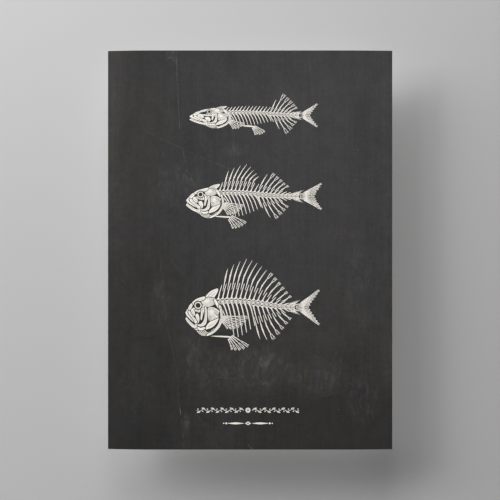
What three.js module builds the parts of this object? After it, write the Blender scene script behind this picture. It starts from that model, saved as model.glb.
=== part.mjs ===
// An unframed poster: one sheet of heavy paper, 500 x 700 mm, that hangs upright on a wall.
// It was sold rolled in a tube and has flattened since, so its middle is flat and its two side edges still bend back.
//
// Frame, in millimetres: +X runs to the right across the sheet and +Z up it. The printed face looks along -Y.
// The origin is the centre of the flat back face, which looks along +Y.

import * as THREE from "three";

// Driving dimensions.
const SHEET_WIDTH = 500; // measured along the paper
const SHEET_HEIGHT = 700;
const PAPER_THICKNESS = 0.3; // a 250 g/m2 art paper
const BENT_WIDTH = 80; // the strip that bends back along each side edge, measured along the paper
const LEFT_BEND_RADIUS = 520;
const RIGHT_BEND_RADIUS = 900;
const BEND_FACETS = 24; // in each bend

const HALF_FLAT = SHEET_WIDTH / 2 - BENT_WIDTH;

// The sheet from above: the printed side runs left to right, and the back returns one paper thickness behind it.
// Each bend is an arc about a centre behind the sheet, so both sides of the paper share that centre.
function sheetProfile() {
  const leftAngle = BENT_WIDTH / LEFT_BEND_RADIUS;
  const rightAngle = BENT_WIDTH / RIGHT_BEND_RADIUS;
  const towardsViewer = -Math.PI / 2;
  const profile = new THREE.Shape();
  const bend = (x, innerRadius, thickness, from, to, clockwise) =>
    profile.absarc(x, innerRadius, innerRadius + thickness, towardsViewer + from, towardsViewer + to, clockwise);
  bend(-HALF_FLAT, LEFT_BEND_RADIUS, PAPER_THICKNESS, -leftAngle, 0, false);
  bend(HALF_FLAT, RIGHT_BEND_RADIUS, PAPER_THICKNESS, 0, rightAngle, false);
  bend(HALF_FLAT, RIGHT_BEND_RADIUS, 0, rightAngle, 0, true);
  bend(-HALF_FLAT, LEFT_BEND_RADIUS, 0, 0, -leftAngle, true);
  return profile;
}

function makeSheet() {
  const geometry = new THREE.ExtrudeGeometry(sheetProfile(), {
    depth: SHEET_HEIGHT,
    bevelEnabled: false,
    curveSegments: BEND_FACETS / 2, // an arc gets two facets for each segment
  });
  geometry.translate(0, 0, -SHEET_HEIGHT / 2);
  const printedPaper = new THREE.MeshStandardMaterial({ color: 0x3c3c3b, roughness: 0.75, metalness: 0 });
  const sheet = new THREE.Mesh(geometry, printedPaper);
  sheet.name = "sheet";
  return sheet;
}

const poster = new THREE.Group();
poster.add(makeSheet());

export default poster;
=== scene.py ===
"""The visual model of an unframed wall poster: a sheet of matte paper, printed cream on charcoal with three
fish skeletons and two small ornaments, its side edges bent back. It stands in front of a plain pale wall.

Blender's lengths are metres. Those on the sheet are mm: "across" runs right from its middle, measured along
the paper, "up" runs up from its middle, and "out" is the distance in front of its back.
"""

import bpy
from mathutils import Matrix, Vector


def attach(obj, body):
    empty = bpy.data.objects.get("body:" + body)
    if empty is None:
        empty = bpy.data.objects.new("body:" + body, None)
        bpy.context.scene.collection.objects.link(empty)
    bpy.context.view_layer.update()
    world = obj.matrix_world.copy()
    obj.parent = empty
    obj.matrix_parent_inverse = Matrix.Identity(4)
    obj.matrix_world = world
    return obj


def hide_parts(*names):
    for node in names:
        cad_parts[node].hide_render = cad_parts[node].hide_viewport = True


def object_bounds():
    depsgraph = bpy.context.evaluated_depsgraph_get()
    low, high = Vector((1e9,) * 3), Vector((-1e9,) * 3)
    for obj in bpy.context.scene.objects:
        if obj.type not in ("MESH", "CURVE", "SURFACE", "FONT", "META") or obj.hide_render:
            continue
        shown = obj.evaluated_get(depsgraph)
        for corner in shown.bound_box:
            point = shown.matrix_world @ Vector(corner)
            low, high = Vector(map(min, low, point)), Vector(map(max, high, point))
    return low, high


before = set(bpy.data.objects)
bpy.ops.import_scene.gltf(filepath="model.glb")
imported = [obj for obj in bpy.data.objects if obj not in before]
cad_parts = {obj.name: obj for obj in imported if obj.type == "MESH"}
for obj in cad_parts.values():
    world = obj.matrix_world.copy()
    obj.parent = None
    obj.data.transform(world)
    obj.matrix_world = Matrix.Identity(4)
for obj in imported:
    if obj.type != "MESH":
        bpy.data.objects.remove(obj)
cad_box = [list(corner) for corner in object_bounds()]

import math
from types import SimpleNamespace

import bpy
import numpy as np
from mathutils import Vector
from mathutils.geometry import delaunay_2d_cdt

MM = 0.001

# The sheet, as the CAD model has it.
SHEET_WIDTH = 500
SHEET_HEIGHT = (cad_box[1][2] - cad_box[0][2]) / MM
THICKNESS = -cad_box[0][1] / MM
BENT_WIDTH = 80  # the strip along each side edge that bends back
LEFT_BEND_RADIUS = 520
RIGHT_BEND_RADIUS = 900
HALF_FLAT = SHEET_WIDTH / 2 - BENT_WIDTH

# The ink stands on the paper, and its underside is sunk into it, so that no two faces share a plane.
INK_TOP = THICKNESS
PAPER_FRONT = THICKNESS * 0.8
INK_UNDERSIDE = THICKNESS * 0.65

# The plate is drawn as flat shapes in two tones. Its line work, in mm:
INK = "ink"
GROUND = "ground"
ENGRAVED = 0.6  # a line left unprinted inside a bone
GROWTH_STEP = 2.3  # round a bone's edge from one growth line to the next
SHORTEST_GROWTH = 3.5  # an edge nearer than this to the bone's root has no growth line
RAY_FORKS = (0.48, 0.74)  # where along its length a soft fin ray splits
RAY_SPREADS = (0.21, 0.115)  # how far each split parts its halves, as shares of the ray's room
RAY_JOINT = 3.2  # from one joint of a soft ray to the next
TOOTH = 1.8
TOOTH_WIDTH = 0.9
RING_SIDES = 20
MEETING = 0.005  # outlines that pass closer than this meet
SMALLEST_MARK = 0.4  # square mm, the smallest speck of ink that prints


def smooth(points, steps):
    """A curve through the points, with this many steps from each to the next. Two points give a line."""
    knots = np.asarray(points, float)
    if len(knots) == 2:
        return knots
    padded = np.vstack([2 * knots[0] - knots[1], knots, 2 * knots[-1] - knots[-2]])
    t = np.linspace(0, 1, steps, endpoint=False)[:, None]
    spans = []
    for before, start, end, after in zip(padded, padded[1:], padded[2:], padded[3:]):
        linear = (end - before) / 2
        square = before - 2.5 * start + 2 * end - after / 2
        cube = 1.5 * (start - end) + (after - before) / 2
        spans.append(start + t * linear + t**2 * square + t**3 * cube)
    return np.vstack([*spans, knots[-1:]])


def smooth_ring(points, steps):
    """A closed curve through the points."""
    knots = np.asarray(points, float)
    return smooth(np.vstack([knots[-1:], knots, knots[:2]]), steps)[steps : -steps - 1]


def height_curve(*points):
    """Height as a function of the distance back from the snout."""
    path = smooth(points, steps=12)
    return lambda x: float(np.interp(x, path[:, 0], path[:, 1]))


def bent_line(base, way, length, bend):
    """A function from a share of the line's length, and a distance off to its left, to a place."""
    side = leftward(way)
    return lambda share, off=0.0: base + way * length * share + side * (length * bend * share**2 + off)


def turned(degrees, vector=(1, 0)):
    """The vector turned counter-clockwise."""
    sine = math.sin(math.radians(degrees))
    cosine = math.cos(math.radians(degrees))
    x, y = vector
    return np.array([x * cosine - y * sine, x * sine + y * cosine])


def leftward(way):
    """One way or several, turned a quarter counter-clockwise."""
    return np.stack([-way[..., 1], way[..., 0]], -1)


def unit(vectors):
    return vectors / np.linalg.norm(vectors, axis=1)[:, None]


def signed_area(outline):
    """The area inside, below zero where the outline runs clockwise."""
    ahead = np.roll(outline, -1, axis=0)
    return (outline[:, 0] * ahead[:, 1] - ahead[:, 0] * outline[:, 1]).sum() / 2


class Pen:
    """Flat shapes in mm on the sheet, each covering the ones before it, as ink or as bare ground."""

    def __init__(self, corner):
        self.corner = np.array(corner, float)
        self.shapes = []

    def lay(self, tone, outline):
        """A shape. Its outline is kept counter-clockwise."""
        if signed_area(outline) <= 0:
            outline = outline[::-1]
        self.shapes.append((tone, outline + self.corner))

    def ribbon(self, path, widths, tone=INK):
        side = leftward(unit(np.gradient(path, axis=0))) * widths[:, None] / 2
        self.lay(tone, np.vstack([path - side, (path + side)[::-1]]))

    def stroke(self, points, width, tip, tone=INK, halo=0.0, steps=3):
        """A line that narrows to tip times its width. The halo keeps it clear of what it crosses."""
        path = smooth(points, steps)
        widths = width * np.linspace(1, tip, len(path))
        if halo:
            self.ribbon(path, widths + 2 * halo, GROUND)
        self.ribbon(path, widths, tone)

    def ring(self, middle, radius, width, tone=INK):
        inner = radius - width / 2
        outer = radius + width / 2
        around = [turned(360 * k / RING_SIDES) for k in range(RING_SIDES + 1)]
        for one, two in zip(around, around[1:]):
            self.lay(tone, middle + np.array([one * inner, one * outer, two * outer, two * inner]))

    def fill(self, points, tone=INK, halo=0.0, steps=3):
        """A smooth closed shape, with a clear margin round it if it has a halo."""
        outline = smooth_ring(points, steps)
        if halo:
            way = unit(np.roll(outline, -1, axis=0) - np.roll(outline, 1, axis=0))
            outward = leftward(way) * -math.copysign(1, signed_area(outline))
            self.lay(GROUND, outline + outward * halo)
        self.lay(tone, outline)
        return outline

    def lozenge(self, middle, long, tall, **looks):
        x, y = middle
        self.fill([(x - long, y), (x, y + tall), (x + long, y), (x, y - tall)], **looks)

    def bone_plate(self, points, ridges, halo, growth):
        """A flat bone, cut free of its neighbours, with engraved ridges or growth lines."""
        outline = self.fill(points, halo=halo)
        for ridge in ridges:
            self.stroke(ridge, ENGRAVED, 0.5, GROUND)
        if growth:
            self.growth_lines(outline)

    def growth_lines(self, outline):
        """Lines that fan out to a bone's edge from a root between its middle and its first corner."""
        root = 0.6 * outline.mean(0) + 0.4 * outline[0]
        since = GROWTH_STEP / 2
        for one, two in zip(outline, np.roll(outline, -1, axis=0)):
            since += np.linalg.norm(two - one)
            outward = two - root
            if since < GROWTH_STEP or np.linalg.norm(outward) < SHORTEST_GROWTH:
                continue
            since -= GROWTH_STEP
            far = 0.85 if outward[1] > 0 else 1.0
            self.stroke([root + outward * far, root + outward * 0.35], ENGRAVED, 0.3, GROUND)


# Fins.

ABOVE = 1
BELOW = -1


def edge_of(fish, side):
    return fish.back if side == ABOVE else fish.belly


def draw_spine(pen, base, way, length, width, bend, halo=0.0):
    at = bent_line(base, way, length, bend)
    pen.stroke([at(0), at(0.5), at(1)], width, 0.2, halo=halo)


def draw_ray(pen, base, way, length, width, room, bend, halo):
    """A soft ray forks twice within its room, and it is jointed past its first fork."""
    at = bent_line(base, way, length, bend)
    first, second = RAY_FORKS
    wide, narrow = (room * spread for spread in RAY_SPREADS)
    pen.stroke([at(0), at(first / 2), at(first)], width, 0.75, halo=halo, steps=2)
    for one in (-wide, wide):
        pen.stroke([at(first), at(second, one)], width * 0.62, 0.85, halo=halo / 2)
        for two in (-narrow, narrow):
            pen.stroke([at(second, one), at(1, one + two)], width * 0.45, 0.7)
    for share in np.arange(first + 0.04, 0.97, RAY_JOINT / length):
        reach = width * 0.4 + room * 0.32 * (share - first) / (1 - first)
        pen.stroke([at(share, -reach), at(share, reach)], ENGRAVED / 2, 1.0, GROUND)


def fin_support(fish, before, after, side):
    """The bone that carries a fin ray, from near the fish's edge in towards the gap between two vertebrae."""
    x, y = (before.middle + after.middle) / 2
    lean = before.lean / fish.spine_reach
    path = []
    for rise in (0.94, 0.7, 0.44):
        along = x + lean * rise
        path.append(np.array([along, y + (edge_of(fish, side)(along) - y) * rise]))
    return path


def draw_fin(pen, fish, vertebrae, side, gaps, sweep, spines, spine_long, ray_long=()):
    """A fin on the back or the belly: spines and then soft rays, one over each gap between two vertebrae,
    from the first of the gaps to the last. Sweep is how steeply the first and the last stand. The lengths
    are those of the first spine, one near the middle and the last, and of the first and the last ray."""
    count = gaps[1] - gaps[0]
    fanning = math.radians(sweep[0] - sweep[1]) / count
    for k in range(count + 1):
        before, after = vertebrae[gaps[0] + k : gaps[0] + k + 2]
        support = fin_support(fish, before, after, side)
        pen.stroke(support, fish.bone * 0.95, 0.3, halo=0.25)
        pen.lozenge(support[0], fish.bone * 0.65, fish.bone * 0.65, halo=0.2, steps=2)
        tilt = np.interp(k, (0, count), sweep)
        way = turned(side * tilt)
        base = support[0] + way * 0.6
        bend = -side * 0.07
        if k < spines:
            length = np.interp(k / max(1, spines - 1), (0, 0.45, 1), spine_long)
            draw_spine(pen, base, way, length, fish.bone * 1.05, bend, halo=0.2)
        else:
            length = np.interp(k, (spines, count), ray_long)
            room = before.length * math.sin(math.radians(tilt)) + length * fanning
            draw_ray(pen, base, way, length, fish.bone * 0.85, room, bend, halo=0.2)


def draw_paired_fin(pen, fish, base, first, last, rays, long, short):
    """A shoulder or hip fin: soft rays fan out from one root, each laid over what is behind it."""
    across = turned((first + last) / 2, (0, 1))
    fanning = math.radians(abs(last - first)) / (rays - 1)
    for k in range(rays):
        share = k / (rays - 1)
        length = long + (short - long) * share**1.3
        start = np.array(base) + across * (0.5 - share) * fish.fin_root
        room = fish.fin_root / rays + length * fanning
        way = turned(first + (last - first) * share)
        draw_ray(pen, start, way, length, fish.bone * 0.8, room, bend=-0.06, halo=0.4)


def draw_tail_plates(pen, fish, root):
    """Wedge plates fan out behind the last vertebra, three below its line and three above."""
    size = fish.tail_plates
    for k in (-3, -2, -1, 1, 2, 3):
        middle = math.copysign(8 + 13.5 * (abs(k) - 1), k)
        one = turned(middle - 5.2)
        two = turned(middle + 5.2)
        reach = size * (1.04 - 0.05 * abs(k))
        near = size * 0.12
        end = (one + two) / 2 * reach * 1.04
        wedge = [one * near, one * reach * 0.6, one * reach, end, two * reach, two * reach * 0.6, two * near]
        pen.fill([root + corner for corner in wedge], halo=0.3, steps=2)
        way = turned(middle) * size
        pen.stroke([root + way * 0.35, root + way * 0.9], ENGRAVED, 0.6, GROUND)


def draw_tail_rays(pen, fish, root):
    """The tail's forked fan of soft rays."""
    room = fish.tail_height / fish.tail_rays * 0.9
    for k in range(fish.tail_rays):
        share = 2 * (k + 0.5) / fish.tail_rays - 1
        start = root + turned(share * 40) * fish.tail_plates * 0.98
        back = fish.tail_notch + (fish.tail_length - fish.tail_notch) * abs(share) ** 1.15
        reach = root + (back, share * fish.tail_height / 2) - start
        length = np.linalg.norm(reach)
        draw_ray(pen, start, reach / length, length, fish.bone * 0.85, room, bend=-0.05 * share, halo=0.15)


def draw_tail_splints(pen, fish, root):
    """Short spines that overlap ahead of the fan, above and below."""
    size = fish.tail_plates
    for side in (BELOW, ABOVE):
        for k in range(5):
            start = root + (-1.5 - k * 1.8, side * (size * 0.40 + 0.15 * k))
            length = size * (0.95 - 0.16 * k)
            draw_spine(pen, start, turned(side * (44 + 2 * k)), length, fish.bone * 0.7, bend=-side * 0.1)


# The column and the ribs.


def vertebrae_of(fish):
    """From the skull to the root of the tail. They get lower on the way, and their spines lean back more."""
    places = np.linspace(fish.head * 0.92, fish.tail_root, fish.vertebrae + 1)
    found = []
    for index in range(fish.vertebrae):
        start, end = [np.array([x, fish.spine(x)]) for x in places[index : index + 2]]
        along = (end - start) / np.linalg.norm(end - start)
        share = index / (fish.vertebrae - 1)
        found.append(
            SimpleNamespace(
                index=index,
                middle=(start + end) / 2,
                along=along,
                up=leftward(along),
                length=places[1] - places[0],
                height=fish.column * (1 - 0.45 * share),
                lean=fish.spine_lean * (0.8 + 0.5 * share),
            )
        )
    return found


def draw_vertebra_body(pen, vertebra):
    """An hourglass, engraved with a line along it and one across it at each end."""
    half_along = vertebra.along * vertebra.length * 0.43
    half_up = vertebra.up * vertebra.height / 2

    def at(x, y):
        return vertebra.middle + half_along * x + half_up * y

    waist = ((-1, 1), (-0.55, 0.66), (0, 0.54), (0.55, 0.66), (1, 1))
    top = smooth([at(x, y) for x, y in waist], steps=2)
    bottom = smooth([at(-x, -y) for x, y in waist], steps=2)
    pen.lay(INK, np.vstack([top, bottom]))
    pen.stroke([at(-0.5, -0.12), at(0.5, -0.12)], ENGRAVED, 1.0, GROUND)
    for x in (-0.7, 0.7):
        pen.stroke([at(x, -0.62), at(x, 0.62)], ENGRAVED, 1.0, GROUND)


def draw_spine_process(pen, fish, vertebra, side):
    """The long spine that stands on a vertebra, above or below, on its two-legged arch."""
    x, y = vertebra.middle
    lean = vertebra.lean
    root = y + side * vertebra.height * 0.5
    reach = fish.spine_reach * (edge_of(fish, side)(x + lean) - root)
    start = (x - vertebra.length * 0.05, root)
    halfway = (x + lean * 0.42, root + reach * 0.5)
    pen.stroke([start, halfway, (x + lean, root + reach)], fish.bone, 0.4, halo=0.3)
    arch = (x + lean * 0.12, root + side * min(abs(reach) * 0.25, vertebra.length * 0.45))
    for foot in (-0.48, 0.42):
        pen.stroke([(x + vertebra.length * foot, root - side * 0.3), arch], fish.bone * 0.6, 0.8)


def draw_rib(pen, fish, vertebra):
    """A rib sweeps back from its vertebra and then down. The foremost are shorter."""
    share = vertebra.index / fish.ribs
    x, y = vertebra.middle + vertebra.along * vertebra.length * 0.05 - vertebra.up * vertebra.height * 0.3
    lean = fish.rib_lean * (1 - 0.25 * share)
    depth = fish.rib_reach * (y - fish.belly(x + lean * 0.8)) * (1 - 0.35 * share**2)
    depth *= min(1.0, 0.45 + 0.27 * vertebra.index)
    curve = ((0, 0), (0.25, 0.14), (0.62, 0.48), (1, 1))
    path = [(x + lean * back, y - depth * down) for back, down in curve]
    pen.stroke(path, fish.bone * 1.15, 0.4, halo=0.45)


# The head.


class Head:
    """A fish's head. Places are hundredths of its length back from the snout, and of its height up."""

    def __init__(self, pen, fish):
        self.pen = pen
        self.fish = fish

    def at(self, x, y):
        """A place in mm. A long snout stretches the front half of the head and squeezes the rear half."""
        fish = self.fish
        if x < 50:
            x = x * fish.snout
        else:
            x = 50 * fish.snout + (x - 50) * (2 - fish.snout)
        return np.array([fish.head * x / 100, fish.snout_height + fish.head * fish.head_height * y / 100])

    def path(self, *places):
        return [self.at(x, y) for x, y in places]

    def bone(self, *places, ridges=(), growth=False):
        gap = 0.95 * self.fish.head_height
        self.pen.bone_plate(self.path(*places), [self.path(*ridge) for ridge in ridges], gap, growth)


def draw_gill_rays(head):
    """They sweep back under the gill cover, from the bar that carries them."""
    for t in (0, 0.25, 0.5, 0.75, 1):
        ray = head.path((36 + 22 * t, -40 + 3 * t), (56 + 16 * t, -54 + 5 * t), (78 + 13 * t, -54 + 17 * t))
        head.pen.stroke(ray, head.fish.bone * 0.65, 0.45, halo=0.6)
    head.bone((28, -33), (45, -36), (62, -34), (64, -40), (45, -43), (28, -38))


def draw_cheek(head):
    """The roof of the mouth, the cheek's hinge and the jaw's hanger."""
    head.bone((20, 6), (34, 2), (52, 0), (66, 6), (66, 11), (52, 5), (34, 7.5), (20, 11))
    head.bone(
        (36, -6), (45, -4), (50, -16), (46, -26), (42, -20), (38, -14),
        ridges=[((45, -22), (43, -10))],
    )
    head.bone(
        (56, 17), (64, 19), (64, 8), (59, -6), (56, -18), (53, -16), (54, -2), (55, 8),
        ridges=[((60, 14), (57.5, -8))],
    )


def draw_skull_roof(head):
    """The braincase, the crest over it and the brow."""
    head.bone((56, 30), (70, 37), (84, 36), (93, 30), (90, 20), (80, 14), (68, 12), (57, 16), growth=True)
    crest = head.fish.crest
    head.bone(
        (66, 36), (74, 37 + 8 * crest), (85, 37 + 14 * crest), (98, 36 + 18 * crest),
        (97, 35 + 11 * crest), (92, 35 + 4 * crest), (88, 35), (76, 37),
        ridges=[
            ((72, 37.5), (82, 37 + 8 * crest), (95, 36 + 15.5 * crest)),
            ((80, 37.5), (87, 37 + 5 * crest), (94, 36 + 10 * crest)),
        ],
    )
    head.bone(
        (22, 21), (34, 29), (50, 34), (64, 37), (64, 31), (56, 27), (44, 24.5), (32, 19), (24, 16),
        ridges=[((28, 20.5), (42, 27.5), (60, 32))],
    )


def draw_snout(head):
    """The snout, and the plate before the eye."""
    head.bone(
        (8, 6), (14, 16), (22, 21), (25, 16), (21, 9), (14, 4),
        ridges=[((12, 8), (17, 13), (22, 16.5))],
    )
    head.bone(
        (19, 4), (26, 10), (31, 4), (34, -5), (30, -9), (23, -5),
        ridges=[((23, 4), (27, -1), (31, -6))],
    )


def draw_eye(head):
    """A ring of bone in a clear socket, with five small bones round the socket's lower side."""
    middle = head.at(*head.fish.eye)
    socket = head.fish.eye_size * head.fish.head
    inner = socket * 1.2
    outer = socket * 1.5
    corners = ((inner, 2), (outer, 4), (outer * 1.05, 14), (outer, 24), (inner, 26), (inner, 14))
    for start in range(205, 370, 33):
        small = [middle + turned(start + angle) * reach for reach, angle in corners]
        head.pen.fill(small, halo=0.5, steps=2)
    head.pen.ring(middle, socket * 0.75, socket * 0.9, GROUND)
    head.pen.ring(middle, socket * 0.80, socket * 0.26)


def draw_jaws(head):
    """The upper jaw's two bones, and the lower jaw."""
    head.bone(
        (10, 3), (16, 2), (28, -10), (40, -20), (41, -27), (35, -27), (24, -15), (12, -5),
        ridges=[((16, -2), (27, -12), (37, -22))],
    )
    head.bone(
        (6, 7), (8.5, 5), (7, -2), (17, -11.5), (28, -20.5), (27, -22.5), (15, -15), (3, -6), (0, -1), (3, 2),
    )
    head.bone(
        (0, -14.5), (4, -13), (12, -19), (25, -27.5), (33, -30), (40, -27), (49, -28),
        (50, -32), (40, -37), (26, -36), (12, -27.5), (2, -19),
        ridges=[((4, -17), (14, -24), (27, -32)), ((30, -32.5), (38, -31.5), (46, -30.5))],
    )


def draw_teeth(head):
    """They get shorter towards the back of the jaws. Every third is longer than the two after it."""
    count = head.fish.teeth
    for k in range(count):
        share = (k + 0.5) / count
        long = TOOTH * (1.25 - 0.6 * share) * (1.25 if k % 3 == 0 else 0.85)
        upper = head.at(2 + 25 * share, -7 - 14 * share)
        lower = head.at(2 + 25 * share, -13.5 - 15 * share)
        head.pen.stroke([upper, upper + (0.25 * long, -long)], TOOTH_WIDTH, 0.2)
        head.pen.stroke([lower, lower + (0.1 * long, long * 0.8)], TOOTH_WIDTH, 0.2)


def draw_gill_cover(head):
    """Its two lower strips, its main plate and the crescent before it."""
    head.bone(
        (78, -22), (92, -16), (100, -11), (97, -22), (86, -34), (72, -40), (66, -40), (68, -33),
        ridges=[((72, -35), (82, -30), (95, -19))],
    )
    head.bone((42, -35), (54, -37), (62, -35), (65, -38), (58, -43), (48, -42))
    head.bone(
        (72, 9), (81, 12), (92, 9), (102, 2), (99, -5), (100, -11), (90, -16), (79, -20), (74, -19), (72, -5),
        growth=True,
    )
    head.bone(
        (64, 12), (67.5, 12), (70, -2), (69, -20), (65, -30), (54, -34), (44, -32), (44, -29), (54, -28),
        (61, -20), (64, -6),
        ridges=[((66, 8), (67, -5), (65, -20), (58, -30), (47, -30.5))],
    )


def draw_shoulder_girdle(head):
    """Two bones, from the back of the skull down to the throat."""
    head.bone((87, 29), (92, 30), (98, 22), (103, 12), (100, 9), (95, 14), (90, 22))
    head.bone(
        (100, 16), (106, 14), (110, 0), (110, -18), (102, -36), (86, -50), (70, -56), (70, -52), (84, -45),
        (97, -32), (104, -16), (104, 2),
        ridges=[((104.5, 12), (107.5, 0), (107, -17), (99, -35), (84, -48))],
    )


def draw_head(pen, fish):
    """From what lies deepest to what lies over it."""
    head = Head(pen, fish)
    draw_gill_rays(head)
    draw_cheek(head)
    draw_skull_roof(head)
    draw_snout(head)
    draw_eye(head)
    draw_jaws(head)
    draw_teeth(head)
    draw_gill_cover(head)
    draw_shoulder_girdle(head)


# The whole fish.


def draw_hip(pen, fish):
    long = fish.hip_bone
    outline = ((-long, 2.0), (-long * 0.5, 2.6), (0.5, 1.6), (1.5, -0.5), (-long * 0.5, 0.3))
    pen.fill([np.array(fish.hip) + p for p in outline], halo=0.6)
    draw_paired_fin(pen, fish, fish.hip, **fish.hip_fin)


def draw_shoulder(pen, fish):
    """The fin stands on a row of four small bones."""
    across = turned((fish.shoulder_fin["first"] + fish.shoulder_fin["last"]) / 2, (0, 1))
    outline = ((-3.0, 0.7), (-0.4, 1.1), (-0.2, -0.9), (-3.0, -0.6))
    for off in (1.5, 0.5, -0.5, -1.5):
        middle = np.array(fish.shoulder) + across * off * fish.fin_root / 4.2
        pen.fill([middle + p for p in outline], halo=0.4, steps=2)
    draw_paired_fin(pen, fish, fish.shoulder, **fish.shoulder_fin)


def draw_fish(fish):
    """One fish's skeleton in profile, facing left, from what lies behind to what lies in front."""
    pen = Pen(fish.place)
    vertebrae = vertebrae_of(fish)
    for vertebra in vertebrae:
        draw_spine_process(pen, fish, vertebra, ABOVE)
    for vertebra in vertebrae[fish.ribs :]:
        draw_spine_process(pen, fish, vertebra, BELOW)
    for fin in fish.back_fins:
        draw_fin(pen, fish, vertebrae, ABOVE, **fin)
    draw_fin(pen, fish, vertebrae, BELOW, **fish.belly_fin)
    last = vertebrae[-1]
    tail_root = last.middle + last.along * last.length * 0.5
    draw_tail_plates(pen, fish, tail_root)
    draw_tail_rays(pen, fish, tail_root)
    draw_tail_splints(pen, fish, tail_root)
    for vertebra in vertebrae:
        draw_vertebra_body(pen, vertebra)
    for vertebra in vertebrae[: fish.ribs]:
        draw_rib(pen, fish, vertebra)
    draw_hip(pen, fish)
    draw_head(pen, fish)
    draw_shoulder(pen, fish)
    return pen.shapes


# Three fish, in mm back from the snout's tip and up from the tail's root, and in degrees. Bone is the width
# of a bone's line, and column the first vertebra's height. Head_height and eye_size are shares of the head's
# length, and the eye lies at hundredths, as Head has them. A reach is a share of the way to the fish's edge.


def pike():
    """A long low fish with a flat snout and its fins far back."""
    return SimpleNamespace(
        name="pike", place=(-106, 236), bone=1.7,
        head=66, head_height=0.58, snout=1.12, snout_height=-1, crest=0.5,
        eye=(47, 20), eye_size=0.06, teeth=11,
        vertebrae=22, ribs=13, column=6.4, tail_root=192,
        rib_lean=10, rib_reach=0.9, spine_lean=6, spine_reach=0.75,
        spine=height_curve((55, 4), (90, 4.5), (140, 3), (195, 0)),
        back=height_curve((0, 0), (30, 7), (60, 15), (90, 19), (130, 19), (160, 13.5), (185, 7), (205, 5)),
        belly=height_curve((0, -4), (40, -16), (80, -21), (130, -19), (160, -12), (185, -6), (205, -5)),
        back_fins=[
            dict(gaps=(12, 17), sweep=(70, 30), spines=1, spine_long=(12, 12, 12), ray_long=(26, 12)),
        ],
        belly_fin=dict(gaps=(13, 17), sweep=(70, 32), spines=1, spine_long=(11, 11, 11), ray_long=(23, 11)),
        tail_plates=8, tail_rays=11, tail_notch=19, tail_length=33, tail_height=46,
        hip=(112, -20), hip_bone=22, hip_fin=dict(first=-28, last=-60, rays=5, long=21, short=13),
        shoulder=(71, -10.5), shoulder_fin=dict(first=-14, last=-50, rays=5, long=24, short=13), fin_root=6,
    )


def perch():
    """A stout fish with a spiny fin before a soft one."""
    return SimpleNamespace(
        name="perch", place=(-112, 94), bone=2.0,
        head=60, head_height=0.95, snout=1.0, snout_height=-6, crest=0.7,
        eye=(42, 16.5), eye_size=0.09, teeth=9,
        vertebrae=21, ribs=10, column=8.0, tail_root=198,
        rib_lean=15, rib_reach=0.92, spine_lean=7.5, spine_reach=0.72,
        spine=height_curve((50, 4.5), (80, 6), (120, 4), (160, 1), (200, 0)),
        back=height_curve((0, 0), (30, 16), (60, 29), (85, 34), (115, 31), (150, 19), (185, 8), (215, 6)),
        belly=height_curve((0, -8), (40, -31), (80, -39), (120, -34), (150, -20), (185, -7), (215, -6)),
        back_fins=[
            dict(gaps=(0, 7), sweep=(76, 42), spines=8, spine_long=(15, 29, 10)),
            dict(gaps=(9, 14), sweep=(62, 36), spines=1, spine_long=(17, 17, 17), ray_long=(23, 12)),
        ],
        belly_fin=dict(gaps=(10, 14), sweep=(66, 40), spines=1, spine_long=(15, 15, 15), ray_long=(22, 12)),
        tail_plates=11, tail_rays=11, tail_notch=27, tail_length=40, tail_height=52,
        hip=(77, -37), hip_bone=30, hip_fin=dict(first=-24, last=-58, rays=5, long=28, short=18),
        shoulder=(66, -15), shoulder_fin=dict(first=-6, last=-50, rays=7, long=33, short=17), fin_root=9,
    )


def bream():
    """A deep, flat-sided fish with one long fin on its back."""
    return SimpleNamespace(
        name="bream", place=(-113, -101), bone=2.3,
        head=58, head_height=1.28, snout=0.84, snout_height=-8, crest=1.1,
        eye=(45, 16), eye_size=0.115, teeth=7,
        vertebrae=18, ribs=8, column=9.6, tail_root=192,
        rib_lean=13, rib_reach=0.95, spine_lean=8, spine_reach=0.66,
        spine=height_curve((50, 8), (80, 11), (120, 8.5), (160, 3), (198, 0)),
        back=height_curve((0, 2), (25, 28), (55, 49), (85, 58), (115, 52), (150, 30), (182, 10), (210, 8)),
        belly=height_curve((0, -12), (30, -38), (70, -56), (105, -55), (145, -34), (180, -11), (210, -8)),
        back_fins=[
            dict(gaps=(0, 13), sweep=(80, 40), spines=8, spine_long=(16, 33, 27), ray_long=(27, 12)),
        ],
        belly_fin=dict(gaps=(7, 13), sweep=(76, 42), spines=2, spine_long=(13, 16, 20), ray_long=(25, 12)),
        tail_plates=13, tail_rays=13, tail_notch=24, tail_length=43, tail_height=68,
        hip=(78, -52), hip_bone=34, hip_fin=dict(first=-30, last=-66, rays=5, long=34, short=20),
        shoulder=(64, -19), shoulder_fin=dict(first=0, last=-46, rays=7, long=44, short=18), fin_root=9,
    )


# Two ornaments hold the place of lettering.

VINE_PLACE = (-3.5, -281)
VINE_START = 7.5  # from the middle
VINE_END = 90
VINE_WAVE = 16.5
VINE_SWAY = 1.6
RULE_PLACE = (-3.5, -304)
RULE_END = 44


def draw_leaf(pen, root, side, lean):
    """A leaf that points away from the middle, up (lean 1) or down (lean -1)."""
    outline = ((-0.4, -0.2), (-1.3, 1.6), (0.2, 3.9), (4.4, 4.7), (3.9, 2.2), (1.6, 0.2))
    pen.fill([root + (side * a, lean * b * 0.66) for a, b in outline], halo=0.3, steps=2)
    pen.stroke([root + (side * 0.4, lean * 0.7), root + (side * 2.9, lean * 2.3)], ENGRAVED, 0.5, GROUND)


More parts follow.
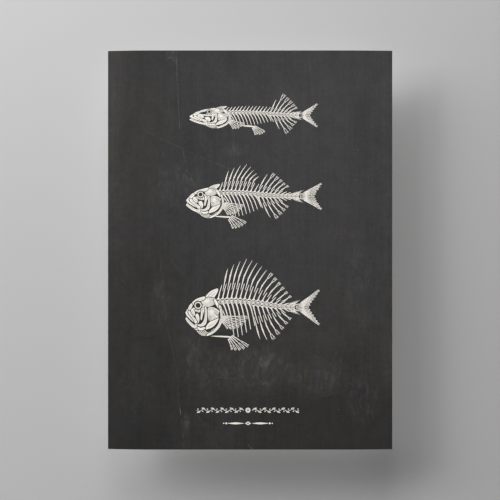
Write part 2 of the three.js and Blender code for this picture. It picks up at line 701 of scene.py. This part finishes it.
def draw_vine():
    """A running stem with a leaf and a berry at each bend, and a rosette in the middle."""
    pen = Pen(VINE_PLACE)
    along = np.linspace(VINE_START, VINE_END, 61)
    height = VINE_SWAY * np.sin(2 * math.pi * (along - VINE_START) / VINE_WAVE)
    for side in (-1, 1):
        pen.ribbon(np.stack([side * along, height], 1), np.linspace(1.1, 0.6, len(along)))
        for k in range(int((VINE_END - VINE_START) / (VINE_WAVE / 2))):
            x = VINE_START + VINE_WAVE * (0.2 + k / 2)
            lean = 1 if k % 2 == 0 else -1
            draw_leaf(pen, np.array([side * x, lean * VINE_SWAY * 0.9]), side, lean)
            berry = np.array([side * (x + 2.6), -lean * 1.9])
            pen.fill([berry + turned(angle) for angle in range(0, 360, 60)], halo=0.3)
    petal = ((1.2, 0), (2.8, 1.35), (5.2, 0), (2.8, -1.35))
    for angle in range(0, 360, 45):
        pen.fill([turned(angle, corner) for corner in petal], halo=0.3)
    return pen.shapes


def draw_rule():
    """Two swelled rules, a hollow lozenge between them and small lozenges past their ends."""
    pen = Pen(RULE_PLACE)
    along = np.linspace(8, RULE_END - 9, 25)
    share = (along - along[0]) / (along[-1] - along[0])
    for side in (-1, 1):
        pen.ribbon(np.stack([side * along, along * 0], 1), 0.9 + 2.5 * np.sin(math.pi * share) ** 1.5)
        pen.lozenge((side * (RULE_END - 6), 0), 2.2, 2.0, halo=0.3, steps=1)
        pen.lozenge((side * (RULE_END - 1.5), 0), 1.4, 1.4, halo=0.3, steps=1)
    pen.lozenge((0, 0), 5.2, 3.4, halo=0.3, steps=1)
    pen.lozenge((0, 0), 2.2, 1.4, tone=GROUND, steps=1)
    return pen.shapes


# Meshes. Each piece has a map to bake its material on, OFBake.

MAP_MARGIN = 0.005
FRONT_MAP_HEIGHT = 0.98
BACK_MAP_HEIGHT = 0.378
BACK_MAP_LEFT = 0.72
EDGE_MAP_LEFT = 0.74
EDGE_MAP_RIGHT = 0.76
EDGE_MAP_HEIGHTS = (0.45, 0.95)
WALL_MAP_WIDTH = 0.2  # mm, for the walls of the ink
BEND_COLUMNS = 25
FLAT_COLUMNS = 18
ROWS = 36
SHARP_ANGLE = 30


def on_sheet(across, up, out):
    """Where a spot of the sheet lies, in metres. Each bend is an arc about a centre behind the sheet."""
    across, up, out = np.broadcast_arrays(across, up, out)
    radius = np.where(across < 0, LEFT_BEND_RADIUS, RIGHT_BEND_RADIUS)
    angle = np.clip(np.abs(across) - HALF_FLAT, 0, None) / radius
    x = np.clip(across, -HALF_FLAT, HALF_FLAT) + np.sign(across) * (radius + out) * np.sin(angle)
    y = radius - (radius + out) * np.cos(angle)
    return np.stack([x, y, up], -1) * MM


def add_mesh(name, points, faces, materials):
    mesh = bpy.data.meshes.new(name)
    mesh.from_pydata(points.tolist(), [], faces)
    for material in materials:
        mesh.materials.append(material)
    thing = bpy.data.objects.new(name, mesh)
    bpy.context.scene.collection.objects.link(thing)
    return thing


def make_piece(name, points, faces, materials, bake_map):
    piece = add_mesh(name, points, faces, materials)
    layer = piece.data.uv_layers.new(name="OFBake")
    layer.data.foreach_set("uv", np.asarray(bake_map, np.float32).ravel())
    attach(piece, "root")
    return piece


def side_map(share_across, share_up, left, height):
    """A side of the sheet in the bake map, in its own shape."""
    width = height * SHEET_WIDTH / SHEET_HEIGHT
    return np.stack([left + share_across * width, MAP_MARGIN + share_up * height], 1)


def make_paper(print_ground, bare_paper):
    """A closed sheet: a front and a back grid, joined by strips round the edge."""
    bend = np.linspace(HALF_FLAT, SHEET_WIDTH / 2, BEND_COLUMNS)
    flat = np.linspace(-HALF_FLAT, HALF_FLAT, FLAT_COLUMNS)[1:-1]
    rows = np.linspace(-SHEET_HEIGHT / 2, SHEET_HEIGHT / 2, ROWS)
    across, up = np.meshgrid(np.concatenate([-bend[::-1], flat, bend]), rows)
    points = np.vstack([on_sheet(across, up, out).reshape(-1, 3) for out in (PAPER_FRONT, 0)])
    share_across = (across / SHEET_WIDTH + 0.5).ravel()
    share_up = (up / SHEET_HEIGHT + 0.5).ravel()
    front_map = side_map(share_across, share_up, MAP_MARGIN, FRONT_MAP_HEIGHT)
    back_map = side_map(1 - share_across, share_up, BACK_MAP_LEFT, BACK_MAP_HEIGHT)

    count = across.size
    index = np.arange(count).reshape(across.shape)
    faces, uvs, slots = [], [], []
    quads = np.stack([index[:-1, :-1], index[:-1, 1:], index[1:, 1:], index[1:, :-1]], -1)
    for quad in quads.reshape(-1, 4).tolist():
        faces += [quad, [corner + count for corner in quad[::-1]]]
        uvs += [*front_map[quad], *back_map[quad[::-1]]]
        slots += [0, 1]
    rim = np.concatenate([index[0, :-1], index[:-1, -1], index[-1, :0:-1], index[:0:-1, 0]]).tolist()
    heights = np.linspace(*EDGE_MAP_HEIGHTS, len(rim) + 1)
    for one, two, low, high in zip(rim, rim[1:] + rim[:1], heights, heights[1:]):
        faces.append([one, one + count, two + count, two])
        uvs += [(EDGE_MAP_LEFT, low), (EDGE_MAP_RIGHT, low), (EDGE_MAP_RIGHT, high), (EDGE_MAP_LEFT, high)]
        slots.append(1)

    paper = make_piece("paper", points, faces, [print_ground, bare_paper], uvs)
    paper.data.polygons.foreach_set("material_index", slots)
    paper.data.polygons.foreach_set("use_smooth", [True] * len(faces))
    paper.data.set_sharp_from_angle(angle=math.radians(SHARP_ANGLE))
    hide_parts("sheet")


def rim_of(triangles):
    """The edges that have ink on one side only."""
    ahead = np.vstack([triangles[:, [0, 1]], triangles[:, [1, 2]], triangles[:, [2, 0]]]).tolist()
    met = {(b, a) for a, b in ahead}
    return np.array([edge for edge in ahead if tuple(edge) not in met])


def islands(triangles):
    """A number for each triangle, the same for all that hang together."""
    island = np.arange(triangles.max() + 1)
    while True:
        spread = island.copy()
        np.minimum.at(spread, triangles, island[triangles].min(1)[:, None])
        spread = spread[spread]
        if (spread == island).all():
            return island[triangles[:, 0]]
        island = spread


def triangulate(shapes):
    """Triangles over what stays inked once each shape has covered those before it."""
    spots, outlines = [], []
    for _, outline in shapes:
        outlines.append(list(range(len(spots), len(spots) + len(outline))))
        spots += [Vector(spot) for spot in outline]
    inside_only = 1
    spots, _, triangles, _, _, covers = delaunay_2d_cdt(spots, [], outlines, inside_only, MEETING, True)
    inked = [t for t, cover in zip(triangles, covers) if cover and shapes[max(cover)][0] == INK]
    return np.array([tuple(spot) for spot in spots]), np.array(inked)


def areas(spots, triangles):
    one, two, three = (spots[triangles[:, k]] for k in range(3))
    (ax, ay), (bx, by) = (two - one).T, (three - one).T
    return (ax * by - ay * bx) / 2


def part_pinches(spots, triangles):
    """Where the ink's outline passes a spot more than once, the smallest triangle there goes."""
    while True:
        starts, passes = np.unique(rim_of(triangles)[:, 0], return_counts=True)
        pinches = starts[passes > 1]
        if not len(pinches):
            return triangles
        area = areas(spots, triangles)
        around = [np.flatnonzero((triangles == pinch).any(1)) for pinch in pinches]
        triangles = np.delete(triangles, [nearby[area[nearby].argmin()] for nearby in around], 0)


def drop_specks(spots, triangles):
    """Without the smallest islands, and without the spots that nothing uses any more."""
    island = islands(triangles)
    size = np.bincount(island, areas(spots, triangles))
    used, kept = np.unique(triangles[size[island] > SMALLEST_MARK], return_inverse=True)
    return spots[used], kept.reshape(-1, 3)


def make_print(name, shapes, ink):
    """A closed film of ink: its top, its underside, and walls along every outline."""
    spots, triangles = triangulate(shapes)
    spots, top = drop_specks(spots, part_pinches(spots, triangles))
    count = len(spots)
    points = np.vstack([on_sheet(spots[:, 0], spots[:, 1], out) for out in (INK_TOP, INK_UNDERSIDE)])
    underside = top[:, ::-1]
    a, b = rim_of(top).T
    walls = np.stack([a, a + count, b + count, b], 1)

    # In the bake map the walls fold outwards from the top, and the underside lies above it.
    low = spots.min(0) - 1
    wide, high = spots.max(0) + 1 - low
    span = max(wide, 2 * high)
    flat = (spots - low) / span
    outward = -leftward(unit(flat[b] - flat[a])) * WALL_MAP_WIDTH / span
    wall_map = np.stack([flat[a], flat[a] + outward, flat[b] + outward, flat[b]], 1)
    bake_map = [flat[top], flat[underside] + (0, high / span), wall_map]
    bake_map = np.vstack([corners.reshape(-1, 2) for corners in bake_map])
    faces = top.tolist() + (underside + count).tolist() + walls.tolist()
    make_piece(name, points, faces, [ink], bake_map)


# Materials.


def vector_node(tree, operation, *values):
    """A Vector Math node. Each value is a socket, or a vector that is the same everywhere."""
    node = tree.nodes.new("ShaderNodeVectorMath")
    node.operation = operation
    for socket, value in zip(node.inputs, values):
        if isinstance(value, bpy.types.NodeSocket):
            tree.links.new(value, socket)
        else:
            socket.default_value = value
    return node


class Signal:
    """A shader socket that does arithmetic. Each operation adds a node."""

    def __init__(self, tree, socket):
        self.tree = tree
        self.socket = socket

    def math(self, operation, *values):
        node = self.tree.nodes.new("ShaderNodeMath")
        node.operation = operation
        for socket, value in zip(node.inputs, values):
            if isinstance(value, Signal):
                self.tree.links.new(value.socket, socket)
            else:
                socket.default_value = value
        return Signal(self.tree, node.outputs[0])

    def __add__(self, other):
        return self.math("ADD", self, other)

    def __sub__(self, other):
        return self.math("SUBTRACT", self, other)

    def __mul__(self, other):
        return self.math("MULTIPLY", self, other)

    def __truediv__(self, other):
        return self.math("DIVIDE", self, other)

    __radd__ = __add__
    __rmul__ = __mul__

    def __rsub__(self, other):
        return self.math("SUBTRACT", other, self)

    def size(self):
        return self.math("ABSOLUTE", self)

    def scale(self, vector):
        """A vector or colour times this signal."""
        node = vector_node(self.tree, "SCALE", vector)
        self.tree.links.new(self.socket, node.inputs["Scale"])
        return node.outputs["Vector"]

    def step(self, start, end):
        """0 at start and 1 at end, with a soft turn at both."""
        node = self.tree.nodes.new("ShaderNodeMapRange")
        node.interpolation_type = "SMOOTHSTEP"
        self.tree.links.new(self.socket, node.inputs["Value"])
        node.inputs["From Min"].default_value = start
        node.inputs["From Max"].default_value = end
        return Signal(self.tree, node.outputs["Result"])


class Surface:
    """A material in the making. Its spot, x and z say where on the sheet, in mm."""

    def __init__(self, name, gloss):
        self.material = bpy.data.materials.new(name)
        self.material.use_nodes = True
        self.tree = self.material.node_tree
        self.shader = self.tree.nodes["Principled BSDF"]
        self.shader.inputs["Specular IOR Level"].default_value = gloss
        place = self.add("ShaderNodeTexCoord").outputs["Object"]
        self.spot = self.stretched(place, (1 / MM, 1 / MM, 1 / MM))
        parts = self.add("ShaderNodeSeparateXYZ")
        self.tree.links.new(self.spot, parts.inputs[0])
        self.x = Signal(self.tree, parts.outputs["X"])
        self.z = Signal(self.tree, parts.outputs["Z"])

    def add(self, kind, **inputs):
        node = self.tree.nodes.new(kind)
        for name, value in inputs.items():
            node.inputs[name].default_value = value
        return node

    def stretched(self, vector, scale):
        return vector_node(self.tree, "MULTIPLY", vector, scale).outputs["Vector"]

    def noise(self, wide, tall=None, detail=2.0, roughness=0.5, distortion=0.0, seed=0.0):
        """Noise from -1 to 1 whose marks are about that many mm wide and tall."""
        node = self.add("ShaderNodeTexNoise", Detail=detail, Roughness=roughness, Distortion=distortion)
        node.noise_dimensions = "4D"
        node.inputs["W"].default_value = seed
        node.inputs["Scale"].default_value = 1
        place = self.stretched(self.spot, (1 / wide, 1 / wide, 1 / (tall or wide)))
        self.tree.links.new(place, node.inputs["Vector"])
        return Signal(self.tree, node.outputs[0]) * 2 - 1

    def specks(self, apart, core, reach):
        """Sparse dust: the sheet cuts through beads strewn in space, one to each cube that is apart mm wide.
        A bead is bright out to core mm from its middle and gone at reach mm."""
        node = self.add("ShaderNodeTexVoronoi", Scale=1 / apart)
        self.tree.links.new(self.spot, node.inputs["Vector"])
        luck = self.add("ShaderNodeSeparateColor")
        self.tree.links.new(node.outputs["Color"], luck.inputs[0])
        dot = Signal(self.tree, node.outputs["Distance"]).step(reach / apart, core / apart)
        return dot * Signal(self.tree, luck.outputs[0]).step(0.35, 1)

    def mix(self, first, second, share):
        """The first colour turned into the second by a share from 0 to 1. The first may be a socket."""
        node = self.add("ShaderNodeMix")
        node.data_type = "RGBA"
        if isinstance(first, bpy.types.NodeSocket):
            self.tree.links.new(first, node.inputs["A"])
        else:
            node.inputs["A"].default_value = (*first, 1)
        node.inputs["B"].default_value = (*second, 1)
        self.tree.links.new(share.socket, node.inputs["Factor"])
        return node.outputs["Result"]

    def paint(self, colour, roughness, height, depth):
        """The finished material. Depth is the height of its bumps in mm."""
        bump = self.add("ShaderNodeBump", Strength=1, Distance=depth * MM)
        self.tree.links.new(height.socket, bump.inputs["Height"])
        self.tree.links.new(bump.outputs[0], self.shader.inputs["Normal"])
        self.tree.links.new(colour, self.shader.inputs["Base Color"])
        self.tree.links.new(roughness.socket, self.shader.inputs["Roughness"])
        return self.material


def scratch_group():
    """A node group: 1 on a line from Start to End, fading to 0 at Width from it. All in mm on the sheet."""
    tree = bpy.data.node_groups.new("scratch", "ShaderNodeTree")
    for name, kind in (("Spot", "Vector"), ("Start", "Vector"), ("End", "Vector"), ("Width", "Float")):
        tree.interface.new_socket(name, in_out="INPUT", socket_type="NodeSocket" + kind)
    tree.interface.new_socket("Mark", in_out="OUTPUT", socket_type="NodeSocketFloat")
    spot, start, end, width = tree.nodes.new("NodeGroupInput").outputs[:4]
    line = vector_node(tree, "SUBTRACT", end, start).outputs["Vector"]
    offset = vector_node(tree, "SUBTRACT", spot, start).outputs["Vector"]
    along = Signal(tree, vector_node(tree, "DOT_PRODUCT", offset, line).outputs["Value"])
    whole = Signal(tree, vector_node(tree, "DOT_PRODUCT", line, line).outputs["Value"])
    share = along / whole
    share = share.math("MINIMUM", share.math("MAXIMUM", share, 0), 1)
    gap = Signal(tree, vector_node(tree, "DISTANCE", offset, share.scale(line)).outputs["Value"])
    mark = (gap / Signal(tree, width)).step(1, 0)
    tree.links.new(mark.socket, tree.nodes.new("NodeGroupOutput").inputs[0])
    return tree


# Scratches on the print: the way each one runs, in mm across and up the sheet, its width and its strength.
SCRATCHES = (
    (((-129, 348), (-128, 300), (-123, 212)), 0.9, 0.55),
    (((-146, 333), (-141, 338), (-135, 337), (-131, 330)), 1.5, 0.25),
    (((-188, 213), (-160, 196), (-126, 182), (-88, 163), (-18, 136)), 0.8, 0.3),
    (((-118, 176), (-112, 148), (-100, 118)), 0.9, 0.4),
    (((-158, 0), (-155, -80), (-146, -132), (-128, -212), (-124, -272)), 1.5, 0.15),
    (((-153, -10), (-151, -84), (-145, -120)), 1.2, 0.14),
    (((-136, -23), (-116, -45)), 0.9, 0.2),
    (((104, -180), (124, -191)), 0.8, 0.3),
    (((96, -214), (124, -211)), 0.8, 0.25),
    (((-80, -237), (-57, -223), (-22, -226)), 0.9, 0.3),
    (((-93, -289), (-78, -308)), 0.8, 0.3),
    (((-124, -272), (-121, -290)), 1.2, 0.75),
    (((-121, -290), (-116, -345)), 0.9, 0.25),
    (((105, -262), (168, -246)), 0.7, 0.3),
    (((-3, -342), (4, -350)), 1.2, 0.6),
    (((196, -284), (203, -330)), 0.8, 0.3),
)
# Chalky patches: the middle, the size across and up, and the strength of each.
SMUDGES = (
    ((-112, -304), (9, 24), 0.8),
    ((10, -208), (96, 52), 0.5),
    ((24, -196), (16, 30), 0.45),
    ((-86, -205), (46, 64), 0.3),
    ((-158, -92), (22, 50), 0.4),
    ((-104, -176), (30, 50), 0.25),
    ((120, -226), (62, 40), 0.45),
    ((-22, 176), (30, 14), 0.35),
    ((-138, 340), (12, 18), 0.5),
    ((-128, 118), (60, 50), 0.35),
    ((192, -60), (34, 120), 0.3),
    ((-196, -240), (44, 90), 0.12),
    ((196, -262), (40, 50), 0.4),
)
GROUND_COOL = (0.0340, 0.0340, 0.0350)
GROUND_WARM = (0.0358, 0.0340, 0.0302)
GROUND_VIOLET = (0.0362, 0.0336, 0.0349)
PAPER_PALE = (0.79, 0.785, 0.745)
PAPER_YELLOWED = (0.76, 0.750, 0.700)
INK_PALE = (0.75, 0.720, 0.665)
INK_DEEP = (0.69, 0.660, 0.605)


def painted_ground_shading(face, low):
    """Painted broad light and shade: darker to the left, at the head and low down, lighter along the bent
    edges.
    """
    sideways = 0.62 + 0.33 * face.x.step(-200, 130) + 0.22 * face.x.step(205, 245)
    left_side = 1 - 0.17 * face.x.step(-130, -215) - 0.12 * face.x.step(-200, -245) * face.z.step(60, -180)
    left_bend = 1 + 0.28 * face.x.step(-205, -252) * face.z.step(-40, 150)
    # Darker low down is partly painted shade and partly the print's own tone.
    downward = (1 - 0.30 * low) * (1 - 0.13 * face.z.step(270, 350))
    foot = 1 - 0.26 * face.z.step(-215, -265) * face.x.step(-60, 60)
    corner = 1 - 0.16 * face.z.step(-250, -340) * face.x.step(-90, -210)
    return sideways * left_side * left_bend * downward * foot * corner


def ground_texture(face, low):
    """Wiped streaks, scuffs, clouds and grain, strongest low down and to the left."""
    streaks = 0.26 * face.noise(3, 150, detail=3, seed=1) + 0.22 * face.noise(14, 260, detail=2, seed=2)
    scuffs = 0.16 * face.noise(70, 3.2, detail=3, seed=15)
    clouds = 0.26 * face.noise(95, 140, detail=3, seed=3)
    blots = 0.34 * face.noise(26, 34, detail=4, distortion=0.6, seed=4)
    grain = 0.34 * face.noise(5, 8, detail=3, seed=14) + 0.24 * face.noise(2.2, detail=2, seed=5)
    return (streaks + scuffs + clouds + blots + grain) * (0.94 + 0.3 * low - 0.24 * face.x.step(-60, 140))


def chalk(face):
    """The chalky patches, broken up into wisps."""
    wisps = face.noise(13, 26, detail=6, roughness=0.66, distortion=1.3, seed=6)
    wisps = 0.12 + 0.88 * wisps.step(-0.12, 0.4)
    marks = 0.0
    for (x, z), (wide, tall), strength in SMUDGES:
        across = (face.x - x) * (1 / wide)
        up = (face.z - z) * (1 / tall)
        marks = (across * across + up * up).step(1, 0) * wisps * strength + marks
    return marks


def scratches(face):
    tree = scratch_group()
    marks = 0.0
    for path, width, strength in SCRATCHES:
        for (x0, z0), (x1, z1) in zip(path, path[1:]):
            node = face.add("ShaderNodeGroup")
            node.node_tree = tree
            face.tree.links.new(face.spot, node.inputs["Spot"])
            node.inputs["Start"].default_value = (x0, -PAPER_FRONT, z0)
            node.inputs["End"].default_value = (x1, -PAPER_FRONT, z1)
            node.inputs["Width"].default_value = width
            marks = Signal(face.tree, node.outputs[0]) * strength + marks
    return marks


def hairlines(face, low):
    """Fine long hairs down the sheet, and curled ones that show most low down. Both come and go."""
    hairs = face.noise(46, 330, detail=1.5, distortion=0.4, seed=8).size().step(0.010, 0)
    hairs = hairs * face.noise(60, 90, seed=9).step(0.05, 0.4) * 0.25
    curls = face.noise(30, 24, detail=1.5, distortion=1.1, seed=17).size().step(0.013, 0)
    curls = curls * face.noise(15, 15, seed=18).step(0.1, 0.3) * (0.05 + 0.2 * low)
    return hairs + curls


def ground_colour(face):
    """Charcoal, warmer low down and to the left, with violet clouds."""
    warmth = 1.1 * face.z.step(60, -240) + 1.1 * face.x.step(-120, -190) + 0.7 * face.noise(60, 90, seed=10)
    violet = 0.85 * face.noise(32, 70, detail=3, seed=16).step(-0.02, 0.22)
    return face.mix(face.mix(GROUND_COOL, GROUND_WARM, warmth), GROUND_VIOLET, violet)


def make_print_ground():
    """Matte charcoal print with the look of a worn slate."""
    face = Surface("print_ground", gloss=0.25)
    low = face.z.step(120, -360)
    wear = face.noise(5, 9, detail=3, seed=7).step(-0.35, 0.35)
    # The tone is painted light and shade times the print's own streaks, scuffs and grain.
    tone = painted_ground_shading(face, low) * (1 + ground_texture(face, low))
    tone = tone + (scratches(face) + hairlines(face, low)) * wear * 3.2
    tone = tone + chalk(face) * 1.5 + face.specks(27, 0.5, 1.4) * 2
    tooth = 0.6 * face.noise(0.9, detail=2, seed=11) + 0.4 * face.noise(3.5, 9, seed=12)
    roughness = 0.72 + 0.06 * face.noise(30, 60, detail=3, seed=13)
    return face.paint(tone.scale(ground_colour(face)), roughness, tooth, depth=0.02)


def make_bare_paper():
    """Uncoated off-white paper for the back and the cut edges: fibres, flocks of pulp, and faint bands from
    the tube that it was rolled in."""
    face = Surface("bare_paper", gloss=0.3)
    upright = face.noise(0.7, 3.2, detail=3, distortion=0.8, seed=21)
    level = face.noise(3, 0.8, detail=3, distortion=0.8, seed=22)
    fibres = upright + level
    clouds = face.noise(35, detail=4, seed=23)
    flocks = face.noise(5, detail=4, roughness=0.6, seed=25)
    bands = face.noise(20, 2000, detail=2, seed=26)
    tone = 1 + 0.05 * fibres + 0.05 * clouds + 0.05 * flocks + 0.04 * bands
    colour = face.mix(PAPER_PALE, PAPER_YELLOWED, face.noise(120, detail=2, seed=24).step(-0.5, 0.5))
    return face.paint(tone.scale(colour), 0.88 + 0.03 * clouds, fibres + 2 * flocks, depth=0.03)


def make_cream_ink():
    """Cream printing ink, a little uneven, as on textured paper."""
    face = Surface("cream_ink", gloss=0.25)
    cover = face.noise(1.1, detail=3, seed=31).step(-0.75, -0.35)
    clouds = face.noise(18, 26, detail=3, seed=32)
    tone = (1 + 0.03 * clouds) * (0.84 + 0.16 * cover)
    colour = face.mix(INK_PALE, INK_DEEP, face.noise(9, detail=3, seed=33).step(-0.2, 0.6))
    tooth = face.noise(0.9, detail=2, seed=34)
    return face.paint(tone.scale(colour), 0.7 + 0.05 * clouds, tooth, depth=0.02)


# The stage, the lights and the camera. A pale wall stands close behind the sheet, over a pale floor.

WALL_GAP = 70  # mm behind the sheet's back
FLOOR_DROP = 900  # mm below the sheet's middle
STAGE_WIDTH = 3.2
WALL_COLOUR = (0.389, 0.388, 0.391)
FLOOR_COLOUR = (0.42, 0.42, 0.42)
REAR_LIGHT = (1.0, 0.995, 1.03)
AMBIENT_LEVEL = 0.142
BACKDROP_LEVEL = 0.52
LENS = 85
SENSOR = 36
FRAMED = 877  # mm, the width of the picture at the sheet


def stage_material(name, colour):
    material = bpy.data.materials.new(name)
    material.use_nodes = True
    shader = material.node_tree.nodes["Principled BSDF"]
    shader.inputs["Base Color"].default_value = (*colour, 1)
    shader.inputs["Roughness"].default_value = 0.9
    shader.inputs["Specular IOR Level"].default_value = 0.1
    return material


def clear_from_behind(material):
    tree = material.node_tree
    side = tree.nodes.new("ShaderNodeNewGeometry")
    clear = tree.nodes.new("ShaderNodeBsdfTransparent")
    mix = tree.nodes.new("ShaderNodeMixShader")
    tree.links.new(side.outputs["Backfacing"], mix.inputs["Fac"])
    tree.links.new(tree.nodes["Principled BSDF"].outputs[0], mix.inputs[1])
    tree.links.new(clear.outputs[0], mix.inputs[2])
    tree.links.new(mix.outputs[0], tree.nodes["Material Output"].inputs["Surface"])


def make_stage():
    """The wall doesn't stop light and is clear from behind, so that it hides nothing of the sheet's back."""
    half, gap, drop = STAGE_WIDTH / 2, WALL_GAP * MM, -FLOOR_DROP * MM
    corners = [(-half, gap, drop), (half, gap, drop), (half, gap, half), (-half, gap, half)]
    wall = add_mesh("wall", np.array(corners), [[0, 1, 2, 3]], [stage_material("wall", WALL_COLOUR)])
    clear_from_behind(wall.data.materials[0])
    wall.visible_shadow = False
    wall.visible_diffuse = False
    wall.visible_glossy = False
    corners = [(-half, -2 * half, drop), (half, -2 * half, drop), (half, half, drop), (-half, half, drop)]
    floor = add_mesh("floor", np.array(corners), [[0, 1, 2, 3]], [stage_material("floor", FLOOR_COLOUR)])


def aim(thing, place):
    """The thing stands at the place and looks at the middle of the sheet."""
    thing.location = place
    thing.rotation_euler = (Vector((0, 0, 0)) - Vector(place)).to_track_quat("-Z", "Y").to_euler()
    bpy.context.scene.collection.objects.link(thing)


def make_light(name, place, size, watts, colour=(1, 1, 1)):
    lamp = bpy.data.lights.new(name, "AREA")
    lamp.shape = "SQUARE"
    lamp.size = size
    lamp.energy = watts
    lamp.color = colour
    aim(bpy.data.objects.new(name, lamp), place)


def make_lights():
    """Three soft panels in front, above and to the left, cast the sheet's shadow. A fourth shows its back."""
    make_light("left", (-3.2, -1.5, 1.5), 1.8, 139)
    make_light("top", (-0.3, -1.1, 2.2), 1.4, 51)
    make_light("upper_left", (-2.6, -2.2, 2.8), 1.6, 77)
    make_light("behind", (0.9, 1.9, 1.0), 1.5, 54, REAR_LIGHT)


def make_world():
    """Dim light from all round, and a brighter backdrop where the camera sees past the stage."""
    world = bpy.data.worlds.new("studio")
    world.use_nodes = True
    tree = world.node_tree
    background = tree.nodes["Background"]
    background.inputs["Color"].default_value = (1.0, 1.0, 1.0, 1)
    seen = Signal(tree, tree.nodes.new("ShaderNodeLightPath").outputs["Is Camera Ray"])
    strength = seen * (BACKDROP_LEVEL - AMBIENT_LEVEL) + AMBIENT_LEVEL
    tree.links.new(strength.socket, background.inputs["Strength"])
    bpy.context.scene.world = world


def make_camera():
    """Straight in front of the middle of the sheet."""
    camera = bpy.data.cameras.new("camera")
    camera.lens = LENS
    camera.sensor_width = SENSOR
    holder = bpy.data.objects.new("camera", camera)
    aim(holder, (0, -FRAMED * MM * LENS / SENSOR, 0))
    bpy.context.scene.camera = holder


make_camera()
make_lights()
make_world()
make_stage()
ink = make_cream_ink()
make_paper(make_print_ground(), make_bare_paper())
for fish in (pike(), perch(), bream()):
    make_print(fish.name + "_print", draw_fish(fish), ink)
make_print("vine_print", draw_vine(), ink)
make_print("rule_print", draw_rule(), ink)
bpy.context.scene.view_settings.view_transform = "Standard"
